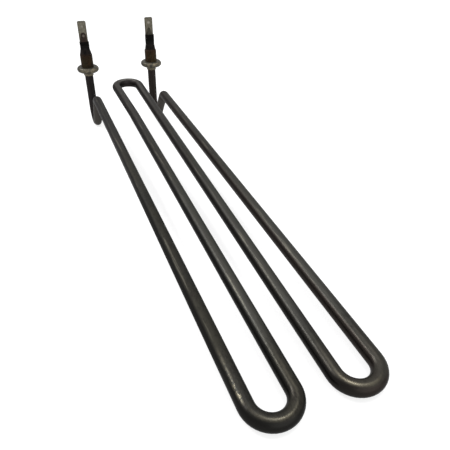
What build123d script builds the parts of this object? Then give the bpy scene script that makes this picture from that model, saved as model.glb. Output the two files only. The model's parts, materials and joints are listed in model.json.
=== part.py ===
from build123d import *
import os
from math import asin, cos, degrees, radians, sin

# Tubular heating element: one bent metal tube with four legs, a hook under each rising end and a
# push-on blade on top of each. All sizes are in millimetres and angles in degrees.
# Origin: midway between the two rising ends, on the upper face of their flanges.
# +Z points up along the rising ends, the legs lie along -Y, and -X is the left end.

# Sheath tube
tube_diameter = 6.5
tube_wall = 0.6
outer_pitch = 17.9          # between the two legs that a near bend joins
middle_pitch = 16.5         # between the two middle legs
outer_leg_length = 270.0    # of the right outer leg
middle_leg_length = 280.2   # of the right middle leg
far_bend_rise = 6.5         # height of the far bend above the outer legs
far_bow_angle = 1.4         # outward turn of the left middle leg near the far bend
far_bow_length = 50.0
far_bow_radius = 60.0
leg_drop = 16.2             # from the flange faces down to the axes of the outer legs
hook_angle = {"left": 61.0, "right": 52.0}      # how steeply the end of a leg turns down
hook_run = {"left": 20.0, "right": 24.9}
hook_bend_radius = 7.5
return_bend_radius = 9.5
tube_end_height = 3.0       # end of the tube above the flange face

# Inside of the tube
packing_gap = 0.02          # between pieces that are pressed together
coil_diameter = 3.2
coil_end_depth = 23.0       # below the flange face
end_seal_length = 5.0

# Connecting pin
pin_diameter = 2.3
pin_grip = 4.0              # length of pin inside the end of the winding
pin_shaft_reach = 0.6       # of the round shaft above the insulator
tongue_width = 3.8
tongue_thickness = 1.0
tongue_corner_share = 0.9   # rounding of the tongue's tip, as a share of half its width
tongue_reach = {"left": 6.6, "right": 5.2}      # above the black sleeve
tongue_taper = {"left": 1.6, "right": 5.0}
tongue_tip_width = {"left": 3.5, "right": 1.0}

# Flange bush
bush_clearance = 0.05
flange_diameter = 17.0
flange_thickness = 4.0
neck_length = 2.8
neck_wall = 0.5
flare_radius = 2.3
seat_depth = 0.3            # of the round seat in the flange face, which centres the insulator
seat_clearance = 0.05

# Insulator
insulator_diameter = 9.5
insulator_height = 9.4      # of the barrel, from the flange face to its step
nose_diameter = 7.0         # foot of the tapered nose above the step
nose_tip_diameter = 5.8
nose_height = 4.4
insulator_clearance = 0.05
insulator_edge = 0.5
insulator_foot_bevel = 0.15 # of the part that sits in the flange's seat

# Black sleeve
sleeve_wall = 0.3
sleeve_foot_diameter = {"left": 9.2, "right": 8.5}
sleeve_reach = {"left": 5.2, "right": 7.2}      # above the insulator
sleeve_corner = 0.1         # inside the flat upper part
sleeve_roundness = 0.98     # of the skirt, where 1 is a full circle
sleeve_waist = 2.4          # height over which the round skirt becomes flat
sleeve_clearance = 0.05

# Blade
blade_width = 6.3
blade_thickness = 0.8
blade_length = 17.9
blade_corner = 0.7
blade_edge = 0.15
dimple_diameter = 1.7       # of the catch dimple on each face
dimple_depth = 0.25
dimple_below_tip = 3.8

# Worked out from the sizes above
tube_radius = tube_diameter / 2
bore_radius = tube_radius - tube_wall
near_bend_radius = outer_pitch / 2
terminal_x = outer_pitch + middle_pitch / 2
leg_slope = degrees(asin(far_bend_rise / (middle_leg_length + near_bend_radius)))
bow = radians(far_bow_angle)
bow_offset = far_bow_length * sin(bow) + far_bow_radius * (1 - cos(bow))
far_bend_radius = (middle_pitch + bow_offset) / (1 + cos(bow))
seal_foot = tube_end_height - end_seal_length
pin_radius = pin_diameter / 2
nose_top = insulator_height + nose_height
blade_root = nose_top + sleeve_waist
dimple_radius = ((dimple_diameter / 2) ** 2 + dimple_depth**2) / (2 * dimple_depth)
sides = {"left": -1, "right": 1}


class Route:
    """A centreline drawn as the tube is bent: straight runs joined by tangent arcs."""

    def __init__(self, start, heading):
        self.place = Vector(*start)
        self.heading = Vector(*heading)
        self.edges = []

    def run(self, length):
        end = self.place + self.heading * length
        self.edges.append(Edge.make_line(self.place, end))
        self.place = end

    def bend(self, axis, angle, radius):
        turn_axis = Axis((0, 0, 0), axis)
        spoke = Vector(*axis).cross(self.heading) * -radius
        centre = self.place - spoke
        middle = centre + spoke.rotate(turn_axis, angle / 2)
        end = centre + spoke.rotate(turn_axis, angle)
        self.edges.append(Edge.make_three_point_arc(self.place, middle, end))
        self.heading = self.heading.rotate(turn_axis, angle)
        self.place = end


def hook_foot(side):
    """Height at which a rising end stops being straight and turns into its hook."""
    angle = radians(hook_angle[side])
    crown_drop = hook_bend_radius * (1 - cos(angle))
    return -leg_drop - crown_drop - hook_run[side] * sin(angle) + return_bend_radius * cos(angle)


def hook_span(side):
    """Distance along the legs from a rising end to the start of its outer leg."""
    angle = radians(hook_angle[side])
    bends = hook_bend_radius * sin(angle) + return_bend_radius * (1 + sin(angle))
    return bends + hook_run[side] * cos(angle)


def centreline(top):
    """From the right rising end over the four legs to the left one, both ends at the given height."""
    rise = sin(radians(leg_slope))
    level = cos(radians(leg_slope))
    bowed = far_bow_length * cos(bow) + (far_bow_radius + far_bend_radius) * sin(bow)
    route = Route((terminal_x, 0, top), (0, 0, -1))
    route.run(top - hook_foot("right"))
    route.bend((-1, 0, 0), 90 + hook_angle["right"], return_bend_radius)
    route.run(hook_run["right"])
    route.bend((1, 0, 0), hook_angle["right"], hook_bend_radius)
    route.run(outer_leg_length)
    route.bend((0, 0, -1), 90, near_bend_radius)
    route.bend((0, rise, -level), 90, near_bend_radius)
    route.run(middle_leg_length)
    route.bend((0, -rise, level), 180 + far_bow_angle, far_bend_radius)
    route.run(far_bow_length)
    route.bend((0, rise, -level), far_bow_angle, far_bow_radius)
    route.run(middle_leg_length - bowed)
    route.bend((0, rise, -level), 90, near_bend_radius)
    route.bend((0, 0, -1), 90, near_bend_radius)
    route.run(outer_leg_length + hook_span("right") - hook_span("left"))
    route.bend((-1, 0, 0), hook_angle["left"], hook_bend_radius)
    route.run(hook_run["left"])
    route.bend((1, 0, 0), 90 + hook_angle["left"], return_bend_radius)
    route.run(top - hook_foot("left"))
    return Wire(route.edges)


def along_tube(radius, top):
    """A round bar of the given radius along the whole centreline, with both ends at the given height."""
    section = Plane(origin=(terminal_x, 0, top), z_dir=(0, 0, -1)) * Circle(radius)
    return sweep(section, path=centreline(top))


def ring(points):
    """A piece turned about +Z from an outline of (radius, height) points."""
    return revolve(make_face(Plane.XZ * Polyline(*points, close=True)), axis=Axis.Z)


def bar(radius, foot, top):
    """A round bar along +Z."""
    return Pos(0, 0, foot) * extrude(Circle(radius), top - foot)


def sheath_tube():
    return along_tube(tube_radius, tube_end_height) - along_tube(bore_radius, tube_end_height)


def resistance_coil():
    """The close winding, as a bar of its outer diameter with a socket for the pin at each end."""
    coil = along_tube(coil_diameter / 2, -coil_end_depth + pin_grip)
    for side in sides.values():
        coil -= Pos(side * terminal_x, 0, 0) * bar(pin_radius, -coil_end_depth, tube_end_height)
    return coil


def magnesia_filling():
    """The pressed powder between the winding, the pins and the wall of the tube."""
    filling = along_tube(bore_radius - packing_gap, seal_foot)
    filling -= along_tube(coil_diameter / 2 + packing_gap, -coil_end_depth + pin_grip)
    for side in sides.values():
        hole = bar(pin_radius + packing_gap, -coil_end_depth + pin_grip, tube_end_height)
        filling -= Pos(side * terminal_x, 0, 0) * hole
    return filling


def end_seal():
    plug = bar(bore_radius - packing_gap, seal_foot, tube_end_height)
    return plug - bar(pin_radius + packing_gap, seal_foot, tube_end_height)


def pin(side):
    """A round rod that ends in a flattened tongue, which is welded to the front of the blade."""
    half = tongue_width / 2
    tip = tongue_tip_width[side] / 2
    top = nose_top + sleeve_reach[side] + tongue_reach[side]
    shoulder = top - tongue_taper[side]
    outline = Polyline(
        (-half, nose_top), (half, nose_top), (half, shoulder), (tip, top), (-tip, top), (-half, shoulder),
        close=True,
    )
    face = make_face(outline)
    face = fillet(face.vertices().sort_by(Axis.Y)[-2:], tongue_corner_share * tip)
    tongue = extrude(Plane.XZ * face, tongue_thickness)
    return bar(pin_radius, -coil_end_depth, nose_top + pin_shaft_reach) + tongue


def flange_bush():
    """A flared neck under a thick round-edged flange with a seat in its face, turned as one piece."""
    bore = tube_radius + bush_clearance
    neck = bore + neck_wall
    flare = neck + flare_radius
    edge = flange_thickness / 2
    shoulder = flange_diameter / 2 - edge
    seat = insulator_diameter / 2 + seat_clearance
    outline = [
        Line((bore, -flange_thickness - neck_length), (neck, -flange_thickness - neck_length)),
        Line((neck, -flange_thickness - neck_length), (neck, -flange_thickness - flare_radius)),
        RadiusArc((neck, -flange_thickness - flare_radius), (flare, -flange_thickness), flare_radius),
        Line((flare, -flange_thickness), (shoulder, -flange_thickness)),
        RadiusArc((shoulder, -flange_thickness), (shoulder, 0), -edge),
        Line((shoulder, 0), (seat, 0)),
        Line((seat, 0), (seat, -seat_depth)),
        Line((seat, -seat_depth), (bore, -seat_depth)),
        Line((bore, -seat_depth), (bore, -flange_thickness - neck_length)),
    ]
    return revolve(make_face(Plane.XZ * Curve(outline)), axis=Axis.Z)


def insulator():
    """A stepped barrel with a bevelled foot and a tapered nose, bored to slip over the tube's end."""
    body = ring([
        (0, -seat_depth),
        (insulator_diameter / 2 - insulator_foot_bevel, -seat_depth),
        (insulator_diameter / 2, 0),
        (insulator_diameter / 2, insulator_height - insulator_edge),
        (insulator_diameter / 2 - insulator_edge, insulator_height),
        (nose_diameter / 2, insulator_height),
        (nose_tip_diameter / 2, nose_top),
        (0, nose_top),
    ])
    body -= bar(tube_radius + insulator_clearance, -seat_depth, tube_end_height)
    return body - bar(pin_radius + insulator_clearance, -seat_depth, nose_top)


def rounded(width, depth, corner, height):
    """A rounded rectangle at a height."""
    return Pos(0, 0, height) * RectangleRounded(width, depth, corner)


def sleeve_form(side, inset):
    """The round skirt of the sleeve, drawn in to a flat upper part; inset makes its hollow."""
    reach = sleeve_clearance + sleeve_wall - inset
    skirt = sleeve_foot_diameter[side] - 2 * inset
    width = blade_width + 2 * reach
    depth = blade_thickness + tongue_thickness + 2 * reach
    corner = sleeve_corner + sleeve_wall - inset
    middle = Pos(0, (blade_thickness - tongue_thickness) / 2, 0)
    foot = rounded(skirt, skirt, sleeve_roundness * skirt / 2, insulator_height)
    waist = rounded(width, width, sleeve_roundness * width / 2, nose_top)
    flat = middle * rounded(width, depth, corner, blade_root)
    top = middle * rounded(width, depth, corner, nose_top + sleeve_reach[side])
    return loft([foot, waist, flat, top], ruled=True)


def sleeve(side):
    return sleeve_form(side, 0) - sleeve_form(side, sleeve_wall)


def blade():
    """The push-on blade, standing behind the tongue of the pin, with a catch dimple on each face."""
    plate = Box(blade_width, blade_thickness, blade_length, align=(Align.CENTER, Align.MIN, Align.MIN))
    corners = plate.edges().filter_by(Axis.Y).group_by(Axis.Z)[-1]
    plate = chamfer(corners, blade_corner)
    plate = chamfer(plate.faces().sort_by(Axis.Z)[-1].edges().filter_by(Axis.X), blade_edge)
    stand_off = dimple_radius - dimple_depth
    for centre in (-stand_off, blade_thickness + stand_off):
        plate -= Pos(0, centre, blade_length - dimple_below_tip) * Sphere(dimple_radius)
    return Pos(0, 0, blade_root) * plate


def build_pieces():
    pieces = {
        "sheath_tube": sheath_tube(),
        "magnesia_filling": magnesia_filling(),
        "resistance_coil": resistance_coil(),
    }
    for side, sign in sides.items():
        place = Pos(sign * terminal_x, 0, 0)
        pieces[f"{side}_end_seal"] = place * end_seal()
        pieces[f"{side}_pin"] = place * pin(side)
        pieces[f"{side}_flange_bush"] = place * flange_bush()
        pieces[f"{side}_insulator"] = place * insulator()
        pieces[f"{side}_sleeve"] = place * sleeve(side)
        pieces[f"{side}_tab"] = place * blade()
    return pieces


os.makedirs("parts", exist_ok=True)
for node, piece in build_pieces().items():
    export_step(piece, f"parts/{node}.step")
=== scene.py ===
import json
import math

import bpy
from mathutils import Euler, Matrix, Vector


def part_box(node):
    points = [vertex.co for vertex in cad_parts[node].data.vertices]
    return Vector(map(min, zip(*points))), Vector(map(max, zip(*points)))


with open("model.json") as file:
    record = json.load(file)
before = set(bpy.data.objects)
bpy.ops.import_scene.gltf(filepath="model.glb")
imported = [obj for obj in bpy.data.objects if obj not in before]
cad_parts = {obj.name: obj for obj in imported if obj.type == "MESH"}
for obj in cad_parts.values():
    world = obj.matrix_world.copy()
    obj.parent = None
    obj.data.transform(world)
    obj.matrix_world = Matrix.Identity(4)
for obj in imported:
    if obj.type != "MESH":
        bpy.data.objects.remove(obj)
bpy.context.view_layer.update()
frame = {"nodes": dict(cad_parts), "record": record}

NODES = frame["nodes"]
MM = 0.001

# Places on the terminals
BLADE_LOW, BLADE_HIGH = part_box("right_tab")
TERMINAL_X = (BLADE_LOW.x + BLADE_HIGH.x) / 2
DIMPLE_HEIGHT = BLADE_HIGH.z - 3.8 * MM
WELD_SPOT = (-TERMINAL_X, -1.0 * MM, 23.6 * MM)
FLANGE_STAINS = [(-27.2 * MM, -5.0 * MM, -4.6 * MM), (25.0 * MM, -5.0 * MM, -2.0 * MM)]

# Each pair from here to the directions is a soft edge: where it starts and where it ends
LEFT_TO_RIGHT = (-10 * MM, 10 * MM)

# Soft edges on the terminals, by height
NECK_TOP = (-5.6 * MM, -4.4 * MM)
BURNT_PART = (5.0 * MM, 9.6 * MM)
SKIRT_FOOT = (9.6 * MM, 11.2 * MM)
SLEEVE_GRIP = (13.2 * MM, 15.2 * MM)
PIN_STAIN = (19.8 * MM, 26.3 * MM)
BLADE_TIP = (32.9 * MM, 33.8 * MM)

# Soft edge of a blade, by the distance from its middle
BLADE_EDGE = (1.9 * MM, 3.1 * MM)

# Soft edges along the legs, on Y: the near bends are at the low end, the rising ends at 0
NEAR_BENDS = (-315 * MM, -285 * MM)
SPECKS_START = (-310 * MM, -304 * MM)
SPECKS_THIN_OUT = (-304 * MM, -297 * MM)
SPECKS_END = (-290 * MM, -282 * MM)
DULL_START = (-300 * MM, -283 * MM)
DULL_END = (-200 * MM, -150 * MM)
MIDDLE_START = (-297 * MM, -272 * MM)
MIDDLE_END = (-200 * MM, -130 * MM)
SCUFFS_START = (-290 * MM, -260 * MM)
FAR_HALF = (-200 * MM, -30 * MM)
FAR_BEND = (-75 * MM, -45 * MM)
HOOK_START = (-50 * MM, -30 * MM)
HOOK_END = (-12 * MM, -6 * MM)

# Soft edges across the legs, on X, and at the hooks' height, on Z
FIRST_LEG = (-21.5 * MM, -16.5 * MM)
HIGHLIGHT_CREST_FADES_IN = (-24 * MM, -10 * MM)
RIGHT_HALF = (-2 * MM, 2 * MM)
FAR_BEND_SIDES = (3 * MM, 9 * MM)
BROWNER_PAINTED_SHADE = (0 * MM, 20 * MM)
HOOK_TOP = (-23 * MM, -18 * MM)

# Directions in which the sides face that get painted shade and painted highlights: the lit side, the
# crest, the specks, the scuffs and the flange's front
LIT_SIDE = (0.20, 0.35, 0.915)
HIGHLIGHT_CREST_SIDE = (-0.13, -0.25, 0.96)
SPECK_HIGHLIGHT_SIDE = (-0.55, 0.0, 0.835)
SCUFF_HIGHLIGHT_SIDE = (-0.50, 0.0, 0.866)
FLANGE_FRONT = (0.25, -0.95, 0.2)

# Colours of the tube, from the plain steel to what lies over it: among them a painted highlight on the
# near bends' crest, on the worn specks and on the scuffs, and near, far and right tones of painted shade
# for the flanks and underside
TUBE_TONES = {
    "plain": (0.025, 0.025, 0.0235),
    "warm": (0.035, 0.033, 0.0265),
    "brown cloud": (0.024, 0.020, 0.0182),
    "dark mottle": (0.015, 0.0145, 0.013),
    "bright grain": (0.060, 0.057, 0.048),
    "far half": (0.056, 0.053, 0.050),
    "middle": (0.063, 0.062, 0.056),
    "left near bend": (0.013, 0.0125, 0.011),
    "right near bend": (0.062, 0.056, 0.046),
    "painted highlight band": (0.125, 0.112, 0.080),
    "far bend": (0.125, 0.121, 0.112),
    "first leg, far": (0.018, 0.0176, 0.0165),
    "first leg, dull": (0.015, 0.0148, 0.0135),
    "specks_with_highlight": (0.155, 0.140, 0.103),
    "scuffs_with_highlight": (0.110, 0.104, 0.084),
    "brown patches": (0.040, 0.032, 0.029),
    "near painted shade": (0.0125, 0.0122, 0.0112),
    "far painted shade": (0.018, 0.0160, 0.0158),
    "right painted shade": (0.0235, 0.0190, 0.0168),
    "hook": (0.054, 0.049, 0.044),
}

# How much of the pale spot over its dimple each blade shows, a worn spot with a painted highlight: -1 is
# the left blade, 1 the right
DIMPLE_HIGHLIGHT = {-1: 0.35, 1: 0.65}

# The floor lies under the hooks, which are beyond one place on Y, and the near bends, before the other
HOOKS_BEYOND = -80 * MM
BENDS_BEFORE = -200 * MM
SETTLING_ROUNDS = 6
FLOOR_WIDTH = 6.0
FLOOR_GREY = (0.40, 0.40, 0.40)
GLOW_SPREAD = (0.4, 1.4)
GLOW_MIDDLE = 0.76
GLOW_OUTSIDE = 0.85

# Strength of the white world: as light on the object, and as the camera and reflections see it
WORLD_LIGHT = 0.42
WORLD_SEEN = 1.0

# Area lamps: name, place, target, width and depth, power in watts
LAMPS = [
    ("strip", (-0.46, 0.25, 0.66), (0.0, 0.25, 0.0), (0.40, 0.09), 4.0),
    ("ceiling", (0.0, 0.27, 0.85), (0.0, 0.20, 0.0), (1.0, 0.9), 2.0),
    ("overhead", (0.15, -0.26, 0.70), (0.0, -0.26, 0.0), (0.14, 0.14), 1.5),
    ("front", (0.25, -1.10, 0.45), (0.0, 0.0, 0.01), (1.2, 0.9), 4.8),
]

# The photo's camera: millimetres for the lens and its sensor, metres for its place, degrees for its turn
LENS = 36.018
SENSOR_WIDTH = 36.0
CLIP_START = 0.01
CAMERA_PLACE = (-0.068600, -0.379773, 0.121429)
CAMERA_TURN = (52.804, -2.009, -22.582)


# Node materials

class Recipe:
    """A node material that is put together with short calls."""

    def __init__(self, name):
        self.material = bpy.data.materials.new(name)
        self.material.use_nodes = True
        self.tree = self.material.node_tree
        self.tree.nodes.clear()
        self.output = self.tree.nodes.new("ShaderNodeOutputMaterial")
        self.place = self.node("ShaderNodeTexCoord").outputs["Object"]

    def node(self, kind, **settings):
        made = self.tree.nodes.new(kind)
        for key, value in settings.items():
            setattr(made, key, value)
        return made

    def feed(self, socket, value):
        """Link another node's result to a socket, or set the socket to a colour or a number."""
        if isinstance(value, bpy.types.NodeSocket):
            self.tree.links.new(value, socket)
        elif isinstance(value, tuple):
            socket.default_value = (*value, 1.0)
        else:
            socket.default_value = value

    def stretched(self, y=1.0, z=1.0, shift=(0.0, 0.0, 0.0)):
        """The object's coordinates, where a scale below 1 draws a pattern out along that axis."""
        mapping = self.node("ShaderNodeMapping")
        self.feed(mapping.inputs["Vector"], self.place)
        mapping.inputs["Scale"].default_value = (1.0, y, z)
        mapping.inputs["Location"].default_value = shift
        return mapping.outputs["Vector"]

    def noise(self, vector, scale, detail=4.0, rough=0.55, distort=0.0):
        made = self.node("ShaderNodeTexNoise")
        self.feed(made.inputs["Vector"], vector)
        made.inputs["Scale"].default_value = scale
        made.inputs["Detail"].default_value = detail
        made.inputs["Roughness"].default_value = rough
        made.inputs["Distortion"].default_value = distort
        return made.outputs["Fac"]

    def ease(self, value, low, high, to_low=0.0, to_high=1.0):
        """Go smoothly from to_low to to_high while a value goes from low to high."""
        made = self.node("ShaderNodeMapRange", interpolation_type="SMOOTHSTEP")
        self.feed(made.inputs["Value"], value)
        made.inputs["From Min"].default_value = low
        made.inputs["From Max"].default_value = high
        made.inputs["To Min"].default_value = to_low
        made.inputs["To Max"].default_value = to_high
        return made.outputs["Result"]

    def fade(self, value, low, high, start=1.0, rest=0.0):
        """Fall smoothly from start to rest while a value goes from low to high."""
        return self.ease(value, low, high, start, rest)

    def between(self, value, first_edge, last_edge):
        """The two masks of a stretch: one rises over its first edge, one falls over its last."""
        return self.ease(value, *first_edge), self.fade(value, *last_edge)

    def work_out(self, operation, a, b=0.0):
        made = self.node("ShaderNodeMath", operation=operation)
        self.feed(made.inputs[0], a)
        self.feed(made.inputs[1], b)
        return made.outputs[0]

    def times(self, *values):
        total = values[0]
        for value in values[1:]:
            total = self.work_out("MULTIPLY", total, value)
        return total

    def all_but(self, mask):
        return self.work_out("SUBTRACT", 1.0, mask)

    def blend(self, factor, below, above):
        made = self.node("ShaderNodeMix", data_type="RGBA")
        self.feed(made.inputs[0], factor)
        self.feed(made.inputs[6], below)
        self.feed(made.inputs[7], above)
        return made.outputs[2]

    def axis(self, name):
        split = self.node("ShaderNodeSeparateXYZ")
        self.feed(split.inputs[0], self.place)
        return split.outputs[name]

    def toward(self, direction):
        """1 where the surface faces a direction squarely, 0 edge on, -1 away from it."""
        made = self.node("ShaderNodeVectorMath", operation="DOT_PRODUCT")
        self.feed(made.inputs[0], self.node("ShaderNodeNewGeometry").outputs["Normal"])
        made.inputs[1].default_value = direction
        return made.outputs["Value"]

    def near(self, point, reach, soft):
        """1 inside a ball round a point of the object, falling to 0 past its soft edge."""
        away = self.node("ShaderNodeVectorMath", operation="DISTANCE")
        self.feed(away.inputs[0], self.place)
        away.inputs[1].default_value = point
        return self.fade(away.outputs["Value"], reach, reach + soft)

    def bump(self, height, strength, distance, under=None):
        made = self.node("ShaderNodeBump")
        self.feed(made.inputs["Height"], height)
        made.inputs["Strength"].default_value = strength
        made.inputs["Distance"].default_value = distance
        if under is not None:
            self.feed(made.inputs["Normal"], under)
        return made.outputs["Normal"]

    def finish(self, colour, rough, normal, metal=0.0, specular=0.5, edge=1.0):
        """Close the material. The edge value is its specular tint, which dims the rim of a metal."""
        shader = self.node("ShaderNodeBsdfPrincipled")
        self.feed(shader.inputs["Base Color"], colour)
        self.feed(shader.inputs["Roughness"], rough)
        self.feed(shader.inputs["Normal"], normal)
        shader.inputs["Metallic"].default_value = metal
        shader.inputs["Specular IOR Level"].default_value = specular
        shader.inputs["Specular Tint"].default_value = (edge, edge, edge, 1.0)
        self.feed(self.output.inputs["Surface"], shader.outputs[0])
        return self.material


def sheath_material():
    """Dark heat-blackened steel with fine lengthwise grain and small worn spots, painted shade on its
    flanks and underside, and painted highlights on its upper side.
    """
    m = Recipe("sheath")
    tone = TUBE_TONES
    broad = m.noise(m.stretched(y=0.35), scale=60.0, detail=3.0)
    cloud = m.noise(m.stretched(y=0.5, shift=(0.3, 0.1, 0.0)), scale=240.0, detail=5.0, rough=0.6)
    mottle = m.noise(m.stretched(y=0.6, shift=(0.1, 0.4, 0.2)), scale=800.0, rough=0.65)
    scratch = m.noise(m.stretched(y=0.05, shift=(0.2, 0.0, 0.1)), scale=1100.0, detail=3.0, rough=0.6)
    grain = m.noise(m.stretched(y=0.25), scale=2600.0, rough=0.6)

    along = m.axis("Y")
    across = m.axis("X")
    far = m.ease(along, *FAR_HALF)
    near_end = m.fade(along, *NEAR_BENDS)
    first_leg = m.fade(across, *FIRST_LEG)
    right_half = m.ease(across, *RIGHT_HALF)
    middle = m.times(*m.between(along, MIDDLE_START, MIDDLE_END), m.all_but(first_leg))
    dull_leg = m.times(first_leg, *m.between(along, DULL_START, DULL_END))
    from_middle = m.work_out("ABSOLUTE", across)
    far_bend = m.times(m.ease(along, *FAR_BEND), m.fade(from_middle, *FAR_BEND_SIDES))
    hook = m.times(*m.between(along, HOOK_START, HOOK_END), m.fade(m.axis("Z"), *HOOK_TOP))
    # Painted highlight: a lighter band along the top of the near bends.
    highlight_crest = m.times(
        near_end,
        m.ease(m.toward(HIGHLIGHT_CREST_SIDE), 0.955, 0.995),
        m.ease(across, *HIGHLIGHT_CREST_FADES_IN, to_low=0.45),
        m.ease(cloud, 0.30, 0.60, to_low=0.5),
    )
    # Worn specks on the first leg's shoulder that also carry a painted highlight.
    specks_with_highlight = m.times(
        first_leg,
        m.ease(m.toward(SPECK_HIGHLIGHT_SIDE), 0.90, 0.985),
        *m.between(along, SPECKS_START, SPECKS_END),
        m.fade(along, *SPECKS_THIN_OUT, rest=0.22),
        m.ease(mottle, 0.42, 0.56),
    )
    # Scuffs along the legs' shoulders that also carry a painted highlight.
    scuffs_with_highlight = m.times(
        m.ease(m.toward(SCUFF_HIGHLIGHT_SIDE), 0.93, 0.99),
        m.ease(scratch, 0.54, 0.64),
        m.ease(along, *SCUFFS_START),
    )

    steel = m.blend(m.ease(broad, 0.35, 0.65), tone["plain"], tone["warm"])
    steel = m.blend(m.ease(cloud, 0.50, 0.72, to_high=0.6), steel, tone["brown cloud"])
    steel = m.blend(m.ease(mottle, 0.46, 0.64, to_high=0.5), steel, tone["dark mottle"])
    steel = m.blend(m.ease(grain, 0.40, 0.75, to_high=0.35), steel, tone["bright grain"])
    layers = [
        (far, 0.70, "far half"),
        (middle, 0.50, "middle"),
        (m.times(near_end, m.all_but(right_half)), 0.14, "left near bend"),
        (m.times(near_end, right_half), 0.40, "right near bend"),
        (highlight_crest, 0.42, "painted highlight band"),
        (far_bend, 0.80, "far bend"),
        (m.times(first_leg, far), 0.40, "first leg, far"),
        (dull_leg, 0.20, "first leg, dull"),
        (specks_with_highlight, 0.90, "specks_with_highlight"),
        (scuffs_with_highlight, 0.55, "scuffs_with_highlight"),
    ]
    for mask, cover, name in layers:
        steel = m.blend(m.times(mask, cover), steel, tone[name])
    patches = m.ease(broad, 0.50, 0.62, to_high=0.40)
    steel = m.blend(m.times(far, patches), steel, tone["brown patches"])

    # Painted shade: a darker copy of the tube's colour for the flanks and underside, browner on the
    # right and lighter over the hooks.
    painted_shade = m.blend(far, tone["near painted shade"], tone["far painted shade"])
    painted_shade = m.blend(m.times(m.ease(across, *BROWNER_PAINTED_SHADE), 0.8), painted_shade, tone["right painted shade"])
    painted_shade = m.blend(m.times(hook, 0.85), painted_shade, tone["hook"])
    # Faces toward the lit side keep the steel colour; the others take the painted shade.
    colour = m.blend(m.ease(m.toward(LIT_SIDE), 0.46, 0.80), painted_shade, steel)

    matt = m.work_out("ADD", m.times(far, 0.14), m.times(dull_leg, 0.26))
    matt = m.work_out("ADD", matt, m.times(middle, 0.06))
    rough = m.work_out("ADD", m.ease(grain, 0.25, 0.75, to_low=0.28, to_high=0.40), matt)
    normal = m.bump(grain, strength=0.25, distance=0.08 * MM)
    normal = m.bump(cloud, strength=0.20, distance=0.30 * MM, under=normal)
    return m.finish(colour, rough, normal, metal=1.0, edge=0.65)


def bush_material():
    """Tarnished plating with brown stains, pale where it faces the front and olive elsewhere; the olive
    of the sides turned away is painted shade.
    """
    m = Recipe("bush")
    stain = m.noise(m.place, scale=420.0, detail=5.0, rough=0.65, distort=0.4)
    fine = m.noise(m.place, scale=2400.0, rough=0.6)
    pale = (0.158, 0.136, 0.094)
    olive = (0.044, 0.042, 0.034)
    brown = (0.045, 0.028, 0.018)
    colour = m.blend(m.ease(stain, 0.36, 0.62), olive, pale)
    colour = m.blend(m.ease(stain, 0.60, 0.74, to_high=0.7), colour, brown)
    # Painted shade: sides turned away from the front take the olive.
    dull = m.fade(m.toward(FLANGE_FRONT), 0.10, 0.85, start=0.92)
    colour = m.blend(dull, colour, olive)
    colour = m.blend(m.fade(m.axis("Z"), *NECK_TOP, start=0.45), colour, pale)
    for spot in FLANGE_STAINS:
        stained = m.near(spot, reach=0.5 * MM, soft=1.3 * MM)
        colour = m.blend(m.times(stained, 0.75), colour, brown)
    rough = m.ease(fine, 0.3, 0.7, to_low=0.34, to_high=0.54)
    normal = m.bump(fine, strength=0.25, distance=0.08 * MM)
    normal = m.bump(stain, strength=0.30, distance=0.25 * MM, under=normal)
    return m.finish(colour, rough, normal, metal=0.6, specular=0.3, edge=0.6)


def insulator_material():
    """Heat-stained brown barrel with upright streaks and a dark burnt upper part."""
    m = Recipe("insulator")
    streak = m.noise(m.stretched(z=0.14), scale=900.0, rough=0.6)
    blot = m.noise(m.place, scale=380.0, rough=0.6, distort=0.5)
    fine = m.noise(m.place, scale=3200.0, detail=3.0)
    brown = (0.034, 0.027, 0.012)
    rust = (0.048, 0.023, 0.009)
    dark = (0.009, 0.007, 0.004)
    burnt = (0.019, 0.009, 0.005)
    colour = m.blend(m.ease(streak, 0.38, 0.66), brown, rust)
    colour = m.blend(m.ease(blot, 0.45, 0.65, to_high=0.7), colour, dark)
    colour = m.blend(m.fade(m.axis("X"), *LEFT_TO_RIGHT, start=0.40), colour, dark)
    colour = m.blend(m.ease(m.axis("Z"), *BURNT_PART, to_high=0.7), colour, burnt)
    rough = m.ease(fine, 0.3, 0.7, to_low=0.60, to_high=0.80)
    normal = m.bump(fine, strength=0.25, distance=0.08 * MM)
    normal = m.bump(streak, strength=0.30, distance=0.20 * MM, under=normal)
    return m.finish(colour, rough, normal, specular=0.10)


def sleeve_material():
    """Shrunk sleeve: dead black where it grips the blade, brown with dust and heat on its skirt."""
    m = Recipe("sleeve")
    dust = m.noise(m.place, scale=500.0, rough=0.6)
    fine = m.noise(m.place, scale=2600.0, rough=0.6)
    height = m.axis("Z")
    clean = (0.004, 0.0034, 0.0030)
    dusty = (0.0135, 0.0105, 0.0095)
    heated = (0.019, 0.0115, 0.0075)
    black = (0.0018, 0.0016, 0.0012)
    skirt = m.blend(m.ease(dust, 0.38, 0.62), clean, dusty)
    skirt = m.blend(m.fade(height, *SKIRT_FOOT, start=0.8), skirt, heated)
    colour = m.blend(m.ease(height, *SLEEVE_GRIP), skirt, black)
    rough = m.ease(fine, 0.3, 0.7, to_low=0.55, to_high=0.72)
    normal = m.bump(fine, strength=0.20, distance=0.06 * MM)
    normal = m.bump(dust, strength=0.35, distance=0.25 * MM, under=normal)
    return m.finish(colour, rough, normal, specular=0.06)


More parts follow.
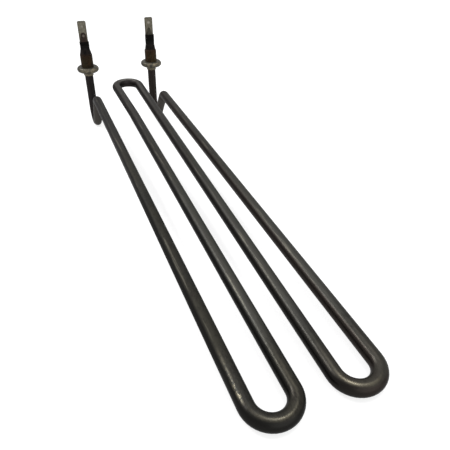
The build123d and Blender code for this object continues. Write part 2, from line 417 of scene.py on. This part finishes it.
def blade_material():
    """Dull plated steel, olive along its edges and its tip, brown low down where the pin meets it, and a
    pale worn dimple spot that carries a painted highlight.
    """
    m = Recipe("blade")
    cloud = m.noise(m.place, scale=420.0, detail=5.0, rough=0.6)
    fine = m.noise(m.stretched(z=0.3), scale=2600.0, rough=0.6)
    pale = (0.195, 0.178, 0.138)
    dull = (0.108, 0.099, 0.074)
    olive = (0.056, 0.052, 0.038)
    brown = (0.035, 0.025, 0.017)
    bright = (0.34, 0.32, 0.28)
    across = m.axis("X")
    height = m.axis("Z")
    colour = m.blend(m.ease(cloud, 0.36, 0.64), dull, pale)
    colour = m.blend(m.ease(across, *LEFT_TO_RIGHT, to_high=0.22), colour, olive)
    off_middle = m.work_out("SUBTRACT", m.work_out("ABSOLUTE", across), TERMINAL_X)
    off_middle = m.work_out("ABSOLUTE", off_middle)
    colour = m.blend(m.ease(off_middle, *BLADE_EDGE, to_high=0.65), colour, olive)
    colour = m.blend(m.ease(height, *BLADE_TIP, to_high=0.7), colour, olive)
    low = m.fade(height, *PIN_STAIN, start=0.9)
    colour = m.blend(m.times(low, m.ease(cloud, 0.3, 0.6, to_low=0.5)), colour, brown)
    # Pale dimple spots: worn metal that also carries a painted highlight.
    for side, shine in DIMPLE_HIGHLIGHT.items():
        dimple = m.near((side * TERMINAL_X, 0.0, DIMPLE_HEIGHT), reach=0.5 * MM, soft=0.9 * MM)
        colour = m.blend(m.times(dimple, shine), colour, bright)
    rough = m.ease(fine, 0.3, 0.7, to_low=0.38, to_high=0.56)
    normal = m.bump(fine, strength=0.25, distance=0.05 * MM)
    normal = m.bump(cloud, strength=0.20, distance=0.15 * MM, under=normal)
    return m.finish(colour, rough, normal, metal=0.5, specular=0.3, edge=0.6)


def pin_material():
    """Rust-brown rod on the left with a pale weld spot in its tip, olive on the right."""
    m = Recipe("pin")
    blot = m.noise(m.place, scale=700.0, detail=5.0, rough=0.65, distort=0.4)
    fine = m.noise(m.place, scale=2800.0, rough=0.6)
    burnt = (0.012, 0.007, 0.005)
    rust = (0.030, 0.0185, 0.0135)
    bare = (0.16, 0.135, 0.115)
    dark_olive = (0.026, 0.024, 0.016)
    pale_olive = (0.055, 0.051, 0.036)
    patches = m.ease(blot, 0.38, 0.62)
    left = m.blend(patches, burnt, rust)
    weld = m.near(WELD_SPOT, reach=0.5 * MM, soft=0.8 * MM)
    left = m.blend(m.times(weld, 0.8), left, bare)
    right = m.blend(patches, dark_olive, pale_olive)
    colour = m.blend(m.ease(m.axis("X"), *LEFT_TO_RIGHT), left, right)
    rough = m.ease(fine, 0.3, 0.7, to_low=0.50, to_high=0.68)
    normal = m.bump(fine, strength=0.3, distance=0.06 * MM)
    normal = m.bump(blot, strength=0.4, distance=0.20 * MM, under=normal)
    return m.finish(colour, rough, normal, metal=0.3, specular=0.2)


def inner_material(name, dark, pale, rough):
    """Plain grained finish for a piece that is closed in."""
    m = Recipe(name)
    grain = m.noise(m.place, scale=1500.0, rough=0.6)
    colour = m.blend(m.ease(grain, 0.35, 0.65), dark, pale)
    roughness = m.ease(grain, 0.3, 0.7, to_low=rough - 0.08, to_high=rough + 0.08)
    return m.finish(colour, roughness, m.bump(grain, strength=0.3, distance=0.1 * MM))


MATERIALS = {
    "sheath": sheath_material(),
    "bush": bush_material(),
    "insulator": insulator_material(),
    "sleeve": sleeve_material(),
    "blade": blade_material(),
    "pin": pin_material(),
    "filling": inner_material("filling", dark=(0.70, 0.69, 0.65), pale=(0.86, 0.85, 0.81), rough=0.8),
    "winding": inner_material("winding", dark=(0.30, 0.30, 0.28), pale=(0.42, 0.42, 0.40), rough=0.45),
    "seal": inner_material("seal", dark=(0.38, 0.17, 0.11), pale=(0.50, 0.24, 0.16), rough=0.6),
}

for part in frame["record"]["subparts"]:
    mesh = NODES[part["node"]].data
    mesh.materials.clear()
    mesh.materials.append(MATERIALS[part["material_slot"]])


# Floor, lights and camera

def resting_plane():
    """The plane under the hooks and the near bends, on which the object lies by itself."""
    points = [v.co for v in NODES["sheath_tube"].data.vertices]
    by_hooks = [p for p in points if p.y > HOOKS_BEYOND]
    by_bends = [p for p in points if p.y < BENDS_BEFORE]
    hooks = min(by_hooks, key=lambda p: p.z)
    slope = max((hooks.z - p.z) / (hooks.y - p.y) for p in by_bends)
    for _ in range(SETTLING_ROUNDS):
        hooks = min(by_hooks, key=lambda p: p.z - slope * p.y)
        bends = min(by_bends, key=lambda p: p.z - slope * p.y)
        slope = (hooks.z - bends.z) / (hooks.y - bends.y)
    return hooks.copy(), slope


def seen_rays(tree):
    """1 on rays from the camera, from a reflection or through glass, 0 on those that carry light."""
    path = tree.nodes.new("ShaderNodeLightPath")
    seen = path.outputs["Is Camera Ray"]
    for ray in ("Is Glossy Ray", "Is Transmission Ray"):
        either = tree.nodes.new("ShaderNodeMath")
        either.operation = "MAXIMUM"
        tree.links.new(seen, either.inputs[0])
        tree.links.new(path.outputs[ray], either.inputs[1])
        seen = either.outputs[0]
    return seen


def floor_material():
    """White to the camera and in reflections, over a grey body that keeps the shadow."""
    m = Recipe("floor")
    body = m.node("ShaderNodeBsdfDiffuse")
    m.feed(body.inputs["Color"], FLOOR_GREY)
    away = m.node("ShaderNodeVectorMath", operation="LENGTH")
    m.feed(away.inputs[0], m.place)
    level = m.ease(away.outputs["Value"], *GLOW_SPREAD, to_low=GLOW_MIDDLE, to_high=GLOW_OUTSIDE)
    glow = m.node("ShaderNodeEmission")
    m.feed(glow.inputs["Strength"], m.times(seen_rays(m.tree), level))
    both = m.node("ShaderNodeAddShader")
    m.feed(both.inputs[0], body.outputs[0])
    m.feed(both.inputs[1], glow.outputs[0])
    m.feed(m.output.inputs["Surface"], both.outputs[0])
    return m.material


def make_floor():
    touch, slope = resting_plane()
    bpy.ops.mesh.primitive_plane_add(size=FLOOR_WIDTH)
    floor = bpy.context.object
    floor.name = "floor"
    floor.rotation_euler = (math.atan(slope), 0.0, 0.0)
    floor.location = (0.0, touch.y, touch.z)
    floor.data.materials.append(floor_material())


def make_world():
    world = bpy.data.worlds.new("studio")
    bpy.context.scene.world = world
    world.use_nodes = True
    tree = world.node_tree
    tree.nodes.clear()
    strength = tree.nodes.new("ShaderNodeMapRange")
    tree.links.new(seen_rays(tree), strength.inputs["Value"])
    strength.inputs["To Min"].default_value = WORLD_LIGHT
    strength.inputs["To Max"].default_value = WORLD_SEEN
    sky = tree.nodes.new("ShaderNodeBackground")
    sky.inputs["Color"].default_value = (1.0, 1.0, 1.0, 1.0)
    tree.links.new(strength.outputs[0], sky.inputs["Strength"])
    out = tree.nodes.new("ShaderNodeOutputWorld")
    tree.links.new(sky.outputs[0], out.inputs["Surface"])


def make_lamp(name, place, target, size, power):
    data = bpy.data.lights.new(name, "AREA")
    data.shape = "RECTANGLE"
    data.size, data.size_y = size
    data.energy = power
    lamp = bpy.data.objects.new(name, data)
    lamp.location = place
    lamp.rotation_euler = (Vector(target) - Vector(place)).to_track_quat("-Z", "Y").to_euler()
    bpy.context.scene.collection.objects.link(lamp)


def make_camera():
    data = bpy.data.cameras.new("camera")
    data.lens = LENS
    data.sensor_width = SENSOR_WIDTH
    data.sensor_fit = "HORIZONTAL"
    data.clip_start = CLIP_START
    camera = bpy.data.objects.new("camera", data)
    camera.location = CAMERA_PLACE
    camera.rotation_euler = Euler([math.radians(angle) for angle in CAMERA_TURN])
    bpy.context.scene.collection.objects.link(camera)
    bpy.context.scene.camera = camera


make_floor()
make_world()
for lamp in LAMPS:
    make_lamp(*lamp)
make_camera()

bpy.context.scene.view_settings.view_transform = "Standard"
